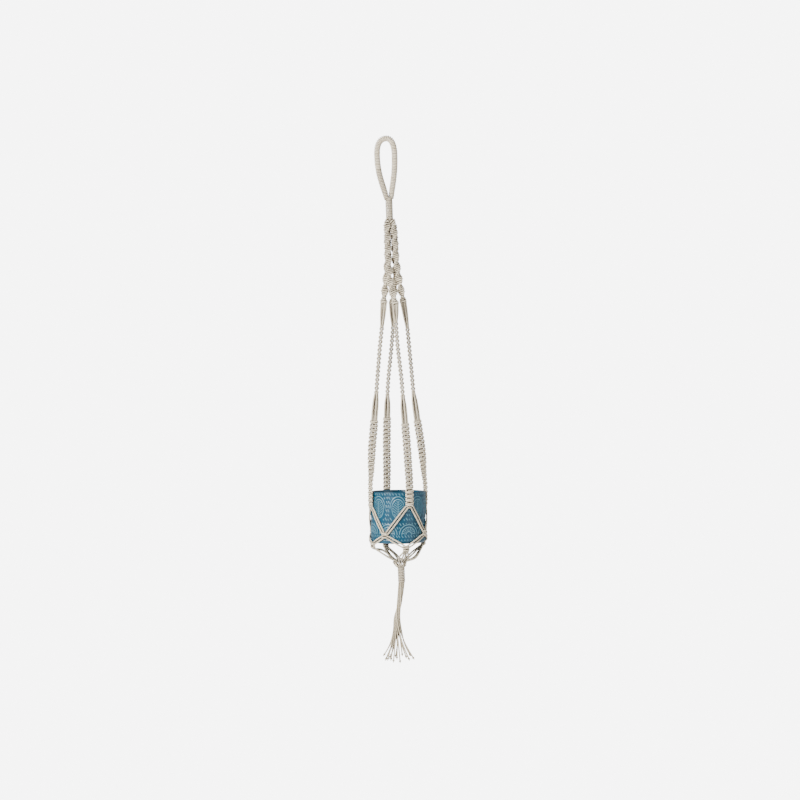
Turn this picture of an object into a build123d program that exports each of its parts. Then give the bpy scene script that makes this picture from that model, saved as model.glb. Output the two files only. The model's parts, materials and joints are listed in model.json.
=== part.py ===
"""Hanging macrame planter: a corded hanger with four worked legs, a knotted net, a tassel and a ceramic pot.

Millimetres, +Z up. The origin is where the hook bears, on the underside of the hanging loop's top.
The loop lies in the XZ plane, and the hanger hangs straight down from the origin.
"""

import os
from math import cos, pi, radians, sin, sqrt, tan

from build123d import *

FULL_TURN = 360
HALF_TURN = 180
RIGHT_ANGLE = 90

# ---------------------------------------------------------------- cords
CORD = 3.2  # diameter of each knotting cord
WRAP_THICKNESS = 2.6  # how far a tight wrapping cord stands on what it wraps
RUNNING_GAP = 0.4  # between pieces that move against each other
STRAND_STEP = CORD + 0.3  # between the middles of cords that lie side by side
FOUR_ABREAST = (-1.5, -0.5, 0.5, 1.5)  # places of four cords that lie side by side, in steps
ARC_SHARE = 0.45  # of the shorter run, taken up by each arc of a cord

# ---------------------------------------------------------------- hanging loop
LOOP_ROPE = 14.6  # diameter of the wrapped rope
LOOP_CORNERS = (  # (x, z) along the rope's middle, up the left limb, over and down the right one
    (-3.4, -131.0),
    (-11.6, -98.0),
    (-18.8, -68.0),
    (-21.5, -36.0),
    (-19.4, -8.0),
    (-8.9, 6.8),
    (9.3, 7.8),
    (18.5, -11.0),
    (19.4, -42.0),
    (17.1, -74.0),
    (12.0, -104.0),
    (6.2, -131.0),
)
LIMBS_MEET = -119.0  # below this height the two limbs are bound together
THROAT_WIDTH = 29.0  # across both limbs, where they meet
THROAT_OVERLAP = 1.5  # how far the binding below reaches up over them
THROAT_FLARE = 1.0  # how much further out than the neck the binding ends

# ---------------------------------------------------------------- neck
NECK_DIAMETER = 16.2
NECK_X = 2.5  # the neck hangs a little to one side of the hook
NECK_TOP_PIVOT = -141.0  # height of the middle of the neck's domed top
NECK_BOTTOM_PIVOT = -175.5  # height of the middle of its domed bottom
PIVOT_ROOM = 3.0  # how far past a dome's middle its neighbours stop

# ---------------------------------------------------------------- legs
# (height, radius, turn in degrees, sideways drift) of the circle that the middles of the four legs lie on,
# and how far each leg's broad side is twisted from round the hanger (0) to the front (1)
LEG_COURSE = (
    (-172.0, 7.0, -45.0, 2.6, 1.0),
    (-204.0, 10.8, -45.0, 4.2, 1.0),
    (-274.0, 12.4, -40.0, 4.4, 1.0),
    (-330.0, 17.4, -20.0, 4.0, 1.0),
    (-376.0, 23.6, 12.0, 4.8, 1.0),
    (-425.0, 29.2, 6.0, 5.2, 1.0),
    (-474.0, 34.6, 11.6, 3.2, 1.0),
    (-552.0, 43.6, 21.0, 1.0, 1.0),
    (-586.0, 46.6, 22.5, 0.2, 1.0),
    (-648.0, 54.2, 22.5, 0.0, 1.0),
    (-713.0, 62.6, 22.5, 0.0, 0.9),
    (-740.0, 64.3, 22.5, 0.0, 0.6),
    (-765.0, 65.8, 22.5, 0.0, 0.3),
    (-790.0, 68.9, 22.5, -0.2, 0.0),
    (-860.0, 69.2, 22.5, -2.2, 0.0),
)
SPIRAL_DIAMETER = 14.0
SPIRAL_GAP = 0.5  # between the four spirals where they are crowded under the neck
BRAID_DIAMETER = 9.2
SENNIT_WIDTH = 16.0
SENNIT_THICKNESS = 8.0
SENNIT_CORNER = 3.2
UPPER_STRAND_STEP = STRAND_STEP + 0.3  # between the strands' middles where they leave the spiral
LOWER_STRAND_STEP = STRAND_STEP + 0.8  # between them where the lower strands bow out
LOWER_STRAND_DEPTH = 3.0  # how far the inner strands bow towards the hanger's axis and away from it
LOWER_STRAND_SECTIONS = (0, 0.33, 0.67, 1)  # shares of the lower strands' length: bowed out at the middle two
LEG_END = -844.0  # bottom of every flat sennit
SENNIT_DEPTH_IN = 6.0  # above that bottom, where the net's cords start
# each leg: name, place round the hanger, and the heights where the spiral, upper strands, braid and
# lower strands end
LEGS = (
    ("right", 0, -373.0, -430.0, -583.0, -649.0),
    ("back", 90, -374.0, -424.0, -587.5, -640.0),
    ("left", 180, -374.0, -426.0, -580.5, -645.0),
    ("front", 270, -378.0, -417.0, -592.0, -654.0),
)

# ---------------------------------------------------------------- pot
POT_DIAMETER = 128.0
POT_HEIGHT = 119.0
POT_WALL = 5.0
POT_FLOOR = 7.0
POT_FOOT_RADIUS = 8.0
POT_INNER_RADIUS = 5.0
POT_RIM_RADIUS = 1.8
POT_LEAN = 1.8  # degrees, its top towards +X
POT_BOTTOM = (-4.4, 0.0, -929.5)

# ---------------------------------------------------------------- net
NET_GAP = 0.4  # between the knots and the pot
NET_CORD_GAP = 1.0  # between the cords' corners and the pot, so that the runs between them clear it
NET_TURN = 22.5  # the net's four sides, turned like the legs
KNOT_WIDTH = 15.0
KNOT_HEIGHT = 12.0
KNOT_THICKNESS = 8.0
KNOT_CORNER = 3.0
FIRST_ROW_TURN = 41.0  # degrees past each leg
# each leg's knot in the first row: its height above the pot's underside
FIRST_ROW = (23.0, 22.0, 20.5, 23.5)
# each leg's knot in the second row: degrees past the leg, height above the pot's underside, and how much
# closer in than the first row it lies, at the pot's rounded foot
SECOND_ROW = (
    (8.0, -1.5, 0.6),
    (4.0, -8.0, 1.9),
    (6.0, -3.5, 1.9),
    (-7.0, -9.5, 1.9),
)
OUTER_CORD = (6.0, 2.0)  # of a knot's outer cords: sideways and up or down from its middle
INNER_CORD = (1.8, 5.0)  # of its inner cords
NET_RUNS = 4  # straight runs of each cord round the pot

# ---------------------------------------------------------------- crown and gathering wrap
CROWN_DIAMETER = 26.0
CROWN_PIVOT = -976.0  # height of its middle
CROWN_AIM = 12.0  # radius at which the lower cords run into the crown
LOWER_CORD_DROP = 10.0  # below a second-row knot's middle, where its cords turn in
LOWER_CORD_TURN_IN = 7.0  # how far in they have come by then
LOWER_CORD_SAGS = (6.0, 1.0, -4.0, 1.0)  # below a straight run to the crown, for each leg
CROWN_CORDS = 16  # every cord of the hanger runs in to the crown
GATHER_DIAMETER = 16.0
GATHER_BOTTOM = -1026.0

# ---------------------------------------------------------------- tassel
TASSEL_KNOT = 5.6  # diameter of the small knot that ends each cord
# heights that the tassel cords' corners share, then each cord's (x, y) there, and its own (x, y, z) end
TASSEL_HEIGHTS = (-1020.0, -1042.0, -1066.0, -1084.0, -1106.0, -1136.0, -1171.0)
TASSEL_ROUTES = (
    ((-6.3, 0.1), (-8.1, -3.6), (-11.4, -6.1), (-13.0, -6.9), (-14.6, -8.1), (-10.4, -8.1), (-1.5, -8.2),
     (10.2, -8.0, -1200.0)),
    ((-2.8, -0.9), (-4.7, -1.9), (-10.7, -2.5), (-12.9, -3.4), (-16.1, -4.8), (-14.6, -5.4), (-12.2, -8.6),
     (-10.4, -9.0, -1204.5)),
    ((-5.2, 3.5), (-8.6, 1.7), (-9.7, 0.9), (-13.0, 0.1), (-17.7, -1.5), (-17.3, -2.7), (-21.4, -6.0),
     (-25.3, -8.0, -1202.7)),
    ((-2.6, 5.8), (-6.8, 5.2), (-8.9, 4.2), (-12.9, 3.5), (-19.2, 1.7), (-20.0, 0.0), (-25.8, -2.6),
     (-31.0, -7.5, -1198.3)),
    ((1.0, 6.2), (-3.7, 6.9), (-8.0, 7.7), (-13.0, 7.1), (-20.9, 5.0), (-22.7, 2.7), (-29.8, -0.4),
     (-38.3, -6.0, -1198.5)),
    ((-5.3, -3.3), (-5.8, -6.2), (-8.0, -6.8), (-9.5, -7.0), (-11.4, -6.5), (-7.2, -5.2), (4.2, -3.4),
     (20.4, -1.0, -1199.0)),
    ((0.0, -2.9), (-1.5, -2.8), (-7.2, -3.3), (-9.4, -3.5), (-12.9, -3.3), (-11.9, -2.7), (-4.6, -2.0),
     (3.7, -2.0, -1195.3)),
    ((2.8, -0.9), (-0.1, 0.3), (-6.3, -0.1), (-9.5, 0.0), (-14.4, 0.0), (-14.6, 0.1), (-15.8, -0.6),
     (-17.2, -1.0, -1197.0)),
    ((-1.7, 2.4), (-5.2, 2.1), (-5.4, 3.5), (-9.5, 3.5), (-15.9, 3.3), (-17.3, 2.7), (-22.6, 1.9),
     (-30.6, 0.4, -1191.0)),
    ((1.7, 2.4), (-1.8, 3.6), (-4.5, 6.9), (-9.4, 6.9), (-17.4, 6.5), (-20.0, 5.4), (-27.6, 4.4),
     (-36.9, 2.5, -1189.7)),
    ((4.2, 4.7), (-0.2, 6.6), (-3.8, 10.2), (-9.3, 10.4), (-19.0, 9.8), (-22.7, 8.1), (-32.5, 6.6),
     (-46.4, 1.0, -1189.0)),
    ((-2.7, -5.7), (-2.5, -7.3), (-4.8, -7.9), (-6.0, -7.0), (-8.1, -5.0), (-4.6, -2.2), (1.4, 3.0),
     (13.0, 8.0, -1192.5)),
    ((0.8, -6.25), (0.7, -5.9), (-3.7, -4.4), (-6.0, -3.5), (-9.6, -1.7), (-9.2, 0.2), (-7.0, 4.6),
     (-5.0, 8.0, -1191.0)),
    ((4.05, -4.8), (2.7, -2.9), (-2.9, -0.9), (-6.1, 0.0), (-11.1, 1.5), (-11.9, 2.7), (-15.2, 6.2),
     (-20.0, 8.5, -1193.5)),
    ((6.0, -1.8), (3.2, 0.5), (-2.1, 2.6), (-6.0, 3.4), (-12.7, 4.8), (-14.6, 5.4), (-21.8, 8.0),
     (-33.0, 9.0, -1196.0)),
    ((6.1, 1.6), (2.2, 3.9), (-1.2, 6.1), (-5.8, 7.0), (-13.9, 8.2), (-17.3, 8.1), (-28.4, 10.6),
     (-43.0, 9.5, -1200.5)),
)

os.makedirs("parts", exist_ok=True)


def save(part, name):
    """Label a finished piece and write it."""
    part.label = name
    export_step(part, f"parts/{name}.step")


def arc_radii(points):
    """The largest tangent arc that each corner of a cord's route has room for."""
    runs = [after - before for before, after in zip(points, points[1:])]
    turns = [radians(before.get_angle(after)) for before, after in zip(runs, runs[1:])]
    shorter = [min(before.length, after.length) for before, after in zip(runs, runs[1:])]
    return [ARC_SHARE * run / tan(turn / 2) for run, turn in zip(shorter, turns)]


def cord_path(points):
    """Straight runs that are joined by tangent arcs."""
    return FilletPolyline(*points, radius=arc_radii(points))


def round_cord(points, diameter):
    """A round cord through the corners given."""
    with BuildPart() as cord:
        with BuildLine() as route:
            cord_path(points)
        with BuildSketch(Plane(origin=points[0], z_dir=points[1] - points[0])):
            Circle(diameter / 2)
        sweep(path=route.line)
    return cord.part


# ---------------------------------------------------------------- hanging loop
def loop_corners(bottom):
    """The rope's corners, with both limbs stopped at the height given."""
    corners = [Vector(x, 0, z) for x, z in LOOP_CORNERS]
    for end, beside in ((0, 1), (-1, -2)):
        run = corners[end] - corners[beside]
        corners[end] = corners[beside] + run * ((bottom - corners[beside].Z) / run.Z)
    return corners


neck_top_pivot = (NECK_X, 0, NECK_TOP_PIVOT)
neck_bottom_pivot = (NECK_X, 0, NECK_BOTTOM_PIVOT)
loop_bottom = NECK_TOP_PIVOT + PIVOT_ROOM

with BuildPart() as loop_core:
    add(round_cord(loop_corners(LOOP_CORNERS[0][1]), LOOP_ROPE - 2 * WRAP_THICKNESS))
    with Locations(neck_top_pivot):
        Sphere(NECK_DIAMETER / 2 + RUNNING_GAP, mode=Mode.SUBTRACT)
save(loop_core.part, "loop_core")

with BuildPart() as loop_wrap:
    add(round_cord(loop_corners(LIMBS_MEET), LOOP_ROPE))
    limbs_x = sum(corner.X for corner in loop_corners(LIMBS_MEET)[:: len(LOOP_CORNERS) - 1]) / 2
    with BuildSketch(Plane((limbs_x, 0, LIMBS_MEET + THROAT_OVERLAP))):
        Ellipse(THROAT_WIDTH / 2, LOOP_ROPE / 2)
    with BuildSketch(Plane((NECK_X, 0, loop_bottom))):
        Circle(NECK_DIAMETER / 2 + THROAT_FLARE)
    loft()
    add(loop_core.part, mode=Mode.SUBTRACT)
    with Locations(neck_top_pivot):
        Sphere(NECK_DIAMETER / 2 + RUNNING_GAP, mode=Mode.SUBTRACT)
save(loop_wrap.part, "loop_wrap")

# ---------------------------------------------------------------- neck
with BuildPart() as neck_blank:
    with Locations((NECK_X, 0, (NECK_TOP_PIVOT + NECK_BOTTOM_PIVOT) / 2)):
        Cylinder(NECK_DIAMETER / 2, NECK_TOP_PIVOT - NECK_BOTTOM_PIVOT)
    with Locations(neck_top_pivot, neck_bottom_pivot):
        Sphere(NECK_DIAMETER / 2)

with BuildPart() as neck_core:
    with Locations((NECK_X, 0, (NECK_TOP_PIVOT + NECK_BOTTOM_PIVOT) / 2)):
        Cylinder(NECK_DIAMETER / 2 - WRAP_THICKNESS, NECK_TOP_PIVOT - NECK_BOTTOM_PIVOT + NECK_DIAMETER)
    add(neck_blank.part, mode=Mode.INTERSECT)
save(neck_core.part, "neck_core")

with BuildPart() as neck_wrap:
    add(neck_blank.part)
    add(neck_core.part, mode=Mode.SUBTRACT)
save(neck_wrap.part, "neck_wrap")


# ---------------------------------------------------------------- legs
def leg_circle(height):
    """Radius, turn, drift and facing of the legs' circle at one height."""
    for (top, *start), (bottom, *end) in zip(LEG_COURSE, LEG_COURSE[1:]):
        if top >= height >= bottom:
            share = (top - height) / (top - bottom)
            return [first + share * (last - first) for first, last in zip(start, end)]
    raise ValueError(f"the legs do not reach the height {height}")


def leg_plane(place, height):
    """A level plane on a leg's middle, with X along its broad side.

    With no facing X runs sideways round the hanger and Y points inwards; with full facing X runs along the
    world's X, one way or the other.
    """
    radius, turn, drift, facing = leg_circle(height)
    angle = radians(place + turn)
    middle = (drift + radius * cos(angle), radius * sin(angle), height)
    sideways = place + turn + RIGHT_ANGLE
    front = HALF_TURN * (place // HALF_TURN + 1)
    broad = radians(sideways + facing * (front - sideways))
    return Plane(origin=middle, x_dir=(cos(broad), sin(broad), 0), z_dir=(0, 0, 1))


def stations(top, bottom):
    """The heights at which a stretch of leg needs a section."""
    return [top, *[height for height, *_ in LEG_COURSE if bottom < height < top], bottom]


def spiral(place, top, bottom):
    """A stretch of half-knot spiral, as thick as its three neighbours leave room for."""
    with BuildPart() as stretch:
        for height in stations(top, bottom):
            room = sqrt(2) * leg_circle(height)[0] - SPIRAL_GAP
            with BuildSketch(leg_plane(place, height)):
                Circle(min(SPIRAL_DIAMETER, room) / 2)
        loft(ruled=True)
        with Locations(neck_bottom_pivot):
            Sphere(NECK_DIAMETER / 2 + RUNNING_GAP, mode=Mode.SUBTRACT)
    return stretch.part


def braid(place, top, bottom):
    """A stretch of four-strand round braid."""
    with BuildPart() as stretch:
        for height in stations(top, bottom):
            with BuildSketch(leg_plane(place, height)):
                Circle(BRAID_DIAMETER / 2)
        loft(ruled=True)
    return stretch.part


def flat_sennit(place, top, bottom):
    """A stretch of square knots."""
    with BuildPart() as stretch:
        for height in stations(top, bottom):
            with BuildSketch(leg_plane(place, height)):
                RectangleRounded(SENNIT_WIDTH, SENNIT_THICKNESS, SENNIT_CORNER)
        loft(ruled=True)
    return stretch.part


def strands(place, heights, offsets):
    """Four free strands, each through one offset on the leg's plane at each height."""
    with BuildPart() as group:
        for spots in zip(*offsets):
            for height, spot in zip(heights, spots):
                with BuildSketch(leg_plane(place, height)):
                    with Locations(spot):
                        Circle(CORD / 2)
            loft(ruled=True)
    return group.part


bunch = [(side * STRAND_STEP / 2, depth * STRAND_STEP / 2) for side in (-1, 1) for depth in (-1, 1)]
upper_row = [(step * UPPER_STRAND_STEP, 0) for step in FOUR_ABREAST]
lower_row = [(step * STRAND_STEP, 0) for step in FOUR_ABREAST]
lower_depths = (0, -LOWER_STRAND_DEPTH, LOWER_STRAND_DEPTH, 0)
lower_bow = [(step * LOWER_STRAND_STEP, depth) for step, depth in zip(FOUR_ABREAST, lower_depths)]
leg_top = NECK_BOTTOM_PIVOT - PIVOT_ROOM
sennits = {}
for name, place, spiral_end, upper_end, braid_end, lower_end in LEGS:
    save(spiral(place, leg_top, spiral_end), f"{name}_spiral")
    upper_heights = (spiral_end, upper_end)
    save(strands(place, upper_heights, (upper_row, bunch)), f"{name}_upper_strands")
    save(braid(place, upper_end, braid_end), f"{name}_braid")
    lower_heights = [braid_end + share * (lower_end - braid_end) for share in LOWER_STRAND_SECTIONS]
    save(strands(place, lower_heights, (bunch, lower_bow, lower_bow, lower_row)), f"{name}_lower_strands")
    sennits[place] = flat_sennit(place, lower_end, LEG_END)
    save(sennits[place], f"{name}_flat_sennit")

# ---------------------------------------------------------------- pot
lean = radians(POT_LEAN)
pot_base = Plane(origin=POT_BOTTOM, x_dir=(cos(lean), 0, -sin(lean)), z_dir=(sin(lean), 0, cos(lean)))

with BuildPart() as pot_hollow:
    with BuildSketch(pot_base.offset(POT_FLOOR)):
        Circle(POT_DIAMETER / 2 - POT_WALL)
    extrude(amount=POT_HEIGHT)
    fillet(pot_hollow.faces().sort_by(Axis.Z)[0].edges(), POT_INNER_RADIUS)

with BuildPart() as pot:
    with BuildSketch(pot_base):
        Circle(POT_DIAMETER / 2)
    extrude(amount=POT_HEIGHT)
    fillet(pot.faces().sort_by(Axis.Z)[0].edges(), POT_FOOT_RADIUS)
    add(pot_hollow.part, mode=Mode.SUBTRACT)
    fillet(pot.faces().sort_by(Axis.Z)[-1].edges(), POT_RIM_RADIUS)
save(pot.part, "pot")


# ---------------------------------------------------------------- net
def on_pot(turn, sideways, radius, height):
    """A point beside the pot: degrees round it, millimetres further round, radius and height above its base."""
    angle = radians(turn) + sideways / radius
    return pot_base.from_local_coords(Vector(radius * cos(angle), radius * sin(angle), height))


def net_knot(turn, radius, height):
    """One square knot of the net, broad side against the pot."""
    middle = on_pot(turn, 0, radius, height)
    outwards = on_pot(turn, 0, radius + KNOT_THICKNESS / 2, height) - middle
    along = on_pot(turn + RIGHT_ANGLE, 0, 1, 0) - Vector(*POT_BOTTOM)
    with BuildPart() as knot:
        with BuildSketch(Plane(origin=middle - outwards, x_dir=along, z_dir=outwards)):
            RectangleRounded(KNOT_WIDTH, KNOT_HEIGHT, KNOT_CORNER)
        extrude(amount=KNOT_THICKNESS)
    return knot.part


def net_cord(start, end):
    """A cord round the pot, from one (turn, radius, height, sideways) to another."""
    points = []
    for step in range(NET_RUNS + 1):
        share = step / NET_RUNS
        turn, radius, height, sideways = [a + share * (b - a) for a, b in zip(start, end)]
        if 0 < step < NET_RUNS:
            radius = net_cord_radius
        points.append(on_pot(turn, sideways, radius, height))
    return round_cord(points, CORD)


def net_cords(start, left, right):
    """The four cords below a knot, two to the knot at each side, all given as (turn, radius, height).

    An outer cord of one knot becomes an inner cord of the next, which keeps each pair side by side.
    """
    cords = []
    for side, end in ((-1, left), (1, right)):
        for leaving, arriving in ((OUTER_CORD, INNER_CORD), (INNER_CORD, OUTER_CORD)):
            cords.append(net_cord(
                (start[0], start[1], start[2] - leaving[1], side * leaving[0]),
                (end[0], end[1], end[2] + arriving[1], -side * arriving[0]),
            ))
    return cords


def cut_group(pieces, *neighbours):
    """Pieces as one group, cut where they run into their neighbours."""
    with BuildPart() as group:
        for piece in pieces:
            add(piece)
        for neighbour in neighbours:
            add(neighbour, mode=Mode.SUBTRACT)
    return group.part


net_cord_radius = POT_DIAMETER / 2 + NET_CORD_GAP + CORD / 2
first_radius = POT_DIAMETER / 2 + NET_GAP + KNOT_THICKNESS / 2
leg_end_height = LEG_END + SENNIT_DEPTH_IN - POT_BOTTOM[2]
leg_ends = [(NET_TURN + place, leg_circle(LEG_END)[0], leg_end_height) for _, place, *_ in LEGS]
first_row = [(turn + FIRST_ROW_TURN, first_radius, height) for (turn, *_), height in zip(leg_ends, FIRST_ROW)]
second_row = []
for (turn, *_), (past, height, closer) in zip(leg_ends, SECOND_ROW):
    second_row.append((turn + past, first_radius - closer, height))
first_knots = cut_group([net_knot(*place) for place in first_row])
second_knots = cut_group([net_knot(*place) for place in second_row])
save(first_knots, "first_row_knots")
save(second_knots, "second_row_knots")

knots_before = [(first_row[-1][0] - FULL_TURN, *first_row[-1][1:]), *first_row]
knots_after = [*second_row[1:], (second_row[0][0] + FULL_TURN, *second_row[0][1:])]
for number, (name, place, *_) in enumerate(LEGS):
    upper = net_cords(leg_ends[number], knots_before[number], first_row[number])
    save(cut_group(upper, sennits[place], first_knots), f"{name}_net_upper_cords")
    middle = net_cords(first_row[number], second_row[number], knots_after[number])
    save(cut_group(middle, first_knots, second_knots), f"{name}_net_middle_cords")

# ---------------------------------------------------------------- crown and gathering wrap
crown_pivot = Vector(0, 0, CROWN_PIVOT)
tassel_pivot = Vector(0, 0, GATHER_BOTTOM + GATHER_DIAMETER / 2)

for (name, *_), (turn, radius, height), sag in zip(LEGS, second_row, LOWER_CORD_SAGS):
    lower = []
    for step, side in zip(FOUR_ABREAST, (-OUTER_CORD[0], -INNER_CORD[0], INNER_CORD[0], OUTER_CORD[0])):
        start = on_pot(turn, side, radius, height)
        turn_in = on_pot(turn, side, radius - LOWER_CORD_TURN_IN, height - LOWER_CORD_DROP)
        aim = radians(turn + step * FULL_TURN / CROWN_CORDS)
        end = crown_pivot + Vector(CROWN_AIM * cos(aim), CROWN_AIM * sin(aim), 0)
        halfway = (turn_in + end) / 2 - Vector(0, 0, sag)
        lower.append(round_cord([start, turn_in, halfway, end], CORD))
    with BuildPart() as crown_room:
        with Locations(crown_pivot):
            Sphere(CROWN_DIAMETER / 2 + RUNNING_GAP)
    save(cut_group(lower, second_knots, crown_room.part), f"{name}_net_lower_cords")

with BuildPart() as gather_blank:
    with Locations((crown_pivot + tassel_pivot) / 2):
        Cylinder(GATHER_DIAMETER / 2, crown_pivot.Z - tassel_pivot.Z)
    with Locations(tassel_pivot):
        Sphere(GATHER_DIAMETER / 2)

with BuildPart() as crown_core:
    with Locations((crown_pivot + tassel_pivot) / 2):
        Cylinder(GATHER_DIAMETER / 2 - WRAP_THICKNESS, crown_pivot.Z - tassel_pivot.Z + GATHER_DIAMETER)
    add(gather_blank.part, mode=Mode.INTERSECT)

with BuildPart() as crown_knot:
    add(crown_core.part)
    with Locations(crown_pivot):
        Sphere(CROWN_DIAMETER / 2)
save(crown_knot.part, "crown_knot")

with BuildPart() as gather_wrap:
    add(gather_blank.part)
    add(crown_knot.part, mode=Mode.SUBTRACT)
save(gather_wrap.part, "gather_wrap")

# ---------------------------------------------------------------- tassel
with BuildPart() as tassel_room:
    with Locations(tassel_pivot):
        Sphere(GATHER_DIAMETER / 2 + RUNNING_GAP)

with BuildPart() as tassel_end_knots:
    with Locations(*[end for *_, end in TASSEL_ROUTES]):
        Sphere(TASSEL_KNOT / 2)
save(tassel_end_knots.part, "tassel_end_knots")

for number, (*corners, end) in enumerate(TASSEL_ROUTES, 1):
    route = [Vector(x, y, height) for (x, y), height in zip(corners, TASSEL_HEIGHTS)] + [Vector(*end)]
    tube = round_cord(route, CORD)
    save(cut_group([tube], tassel_room.part, tassel_end_knots.part), f"tassel_cord_{number:02d}")
    section = pi * CORD**2 / 4
    radii = ", ".join(f"{radius:.0f}" for radius in arc_radii(route))
    print(f"tassel cord {number}: radii {radii} mm, volume {tube.volume / section / cord_path(route).length:.4f}"
          " of its section times its length")
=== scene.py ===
# %% [markdown]
# # A hanging macrame planter
# Eight long cotton cords are folded over a hook, bound into a loop, knotted into four legs and a net, and
# gathered into a tassel. A glazed pot stands in the net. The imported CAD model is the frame: each cell below
# adds the real surface of one stretch of cord in the place where the frame already has its plain solid.

import json
import random
from math import atan2, ceil, cos, degrees, pi, radians, sin

import bpy
from mathutils import Matrix, Vector


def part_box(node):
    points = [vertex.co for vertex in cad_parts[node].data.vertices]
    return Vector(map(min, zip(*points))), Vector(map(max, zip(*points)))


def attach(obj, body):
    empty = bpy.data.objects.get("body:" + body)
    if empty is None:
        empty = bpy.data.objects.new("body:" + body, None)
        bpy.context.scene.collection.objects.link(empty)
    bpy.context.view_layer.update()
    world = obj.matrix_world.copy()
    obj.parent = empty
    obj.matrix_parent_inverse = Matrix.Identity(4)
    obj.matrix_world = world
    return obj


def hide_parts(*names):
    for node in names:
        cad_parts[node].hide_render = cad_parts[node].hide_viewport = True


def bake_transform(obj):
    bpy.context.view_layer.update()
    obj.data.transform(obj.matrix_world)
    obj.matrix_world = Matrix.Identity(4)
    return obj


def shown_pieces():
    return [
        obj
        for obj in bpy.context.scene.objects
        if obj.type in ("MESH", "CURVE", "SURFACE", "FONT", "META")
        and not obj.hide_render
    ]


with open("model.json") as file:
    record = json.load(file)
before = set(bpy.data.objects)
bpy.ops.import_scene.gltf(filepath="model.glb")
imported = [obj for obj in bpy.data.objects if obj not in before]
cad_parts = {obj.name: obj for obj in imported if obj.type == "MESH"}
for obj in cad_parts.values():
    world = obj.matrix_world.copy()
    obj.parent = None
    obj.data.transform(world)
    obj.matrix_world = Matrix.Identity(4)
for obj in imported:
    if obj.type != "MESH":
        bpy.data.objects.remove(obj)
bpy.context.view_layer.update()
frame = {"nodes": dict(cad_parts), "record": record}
record = frame["record"]
chance = random.Random(11)

# %% [markdown]
# ## Camera
# The planter is seen level, from in front and from far off, so its legs stay nearly parallel. The hanger
# hangs plumb in the model and the camera is rolled by two degrees instead.

# %% Camera
CAMERA_DISTANCE = 4.128
CAMERA_ASIDE = 0.0332
CAMERA_DOWN = 0.599
CAMERA_ROLL = radians(2.08)
right = Vector((cos(CAMERA_ROLL), 0, -sin(CAMERA_ROLL)))
up = Vector((sin(CAMERA_ROLL), 0, cos(CAMERA_ROLL)))
back = Vector((0, -1, 0))
place = CAMERA_ASIDE * right - CAMERA_DOWN * up + CAMERA_DISTANCE * back
camera = bpy.data.objects.new("camera", bpy.data.cameras.new("camera"))
camera.data.lens = 80
camera.data.sensor_width = 36
camera.matrix_world = Matrix((right, up, back)).transposed().to_4x4()
camera.location = place
bpy.context.collection.objects.link(camera)
bpy.context.scene.camera = camera
print("camera", [round(v, 3) for v in place])

# %% [markdown]
# ## One three-ply cord
# Macrame cord is three plies twisted together, and each ply shows as a raised stripe that winds round the
# cord. A helix for every ply would need three tubes; a three-lobed profile that turns as it is swept along
# gives the same stripes with one. So every cord here is a curve whose bevel is that profile, and the tilt of
# its points winds it. Blender allows a point 21,600 degrees of tilt, so a very long cord stops winding at
# MAX_TILT. Converting the curve gives the mesh. Each stretch has its own crest, the radius of its plies.

# %% Three-ply cord
CORD = 0.0032
PLY_LAY = 0.0110
STEP = 0.0009
PROFILE = (1.0, 0.95, 0.80, 0.95)
PLY_CREST = CORD / 2 * 1.06
FULL_CREST = CORD / 2 * 1.26
LOOSE_CREST = CORD / 2 * 1.38
SENNIT_CREST = CORD / 2 * 1.24
MAX_TILT = radians(21000)


def profile_curve(name, radii):
    """A closed outline whose points stand at these distances, evenly round the middle."""
    outline = bpy.data.curves.new(name, "CURVE")
    spline = outline.splines.new("POLY")
    spline.points.add(len(radii) - 1)
    for number, (point, radius) in enumerate(zip(spline.points, radii)):
        angle = 2 * pi * number / len(radii)
        point.co = (radius * cos(angle), radius * sin(angle), 0, 1)
    spline.use_cyclic_u = True
    holder = bpy.data.objects.new(name, outline)
    bpy.context.collection.objects.link(holder)
    return holder


def sweep(name, lines, profile, radius, lay):
    """Sweep a profile along every line, turning once in each lay, and make the result a mesh."""
    curve = bpy.data.curves.new(name, "CURVE")
    curve.dimensions = "3D"
    curve.bevel_mode = "OBJECT"
    curve.bevel_object = profile
    curve.use_fill_caps = True
    for line in lines:
        spline = curve.splines.new("POLY")
        spline.points.add(len(line) - 1)
        run = 0.0
        for number, (point, spot) in enumerate(zip(spline.points, line)):
            if number:
                run += (Vector(spot) - Vector(line[number - 1])).length
            point.co = (*spot, 1)
            point.radius = radius(run) if callable(radius) else radius
            point.tilt = min(2 * pi * run / lay, MAX_TILT)
    piece = bpy.data.objects.new(name, curve)
    bpy.context.collection.objects.link(piece)
    bpy.ops.object.select_all(action="DESELECT")
    piece.select_set(True)
    bpy.context.view_layer.objects.active = piece
    bpy.ops.object.convert(target="MESH")
    piece = bpy.context.view_layer.objects.active
    bpy.ops.object.shade_smooth()
    return piece


def smooth_line(points):
    """A smooth line through every point, by Catmull and Rom's formula, in steps of STEP or less."""
    points = [Vector(point) for point in points]
    ends = [2 * points[0] - points[1], *points, 2 * points[-1] - points[-2]]
    line = []
    for a, b, c, d in zip(ends, ends[1:], ends[2:], ends[3:]):
        steps = ceil((c - b).length / STEP)
        for step in range(steps):
            t = step / steps
            line.append(0.5 * (2 * b + (c - a) * t + (2 * a - 5 * b + 4 * c - d) * t**2
                               + (3 * b - a - 3 * c + d) * t**3))
    return line + [points[-1]]


ply_profile = profile_curve("ply_profile", PROFILE * 3)
print("a cord has", len(PROFILE) * 3, "faces round it")

# %% [markdown]
# ## Tassel
# The sixteen cord ends hang free below the gathering wrap. They were tied wet and twisted a little, so they
# narrow, lean to one side and fan out at the bottom. Each follows its own route as a NURBS line, which is
# smooth wherever its points are, and the three-ply cord is swept along that line.

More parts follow.
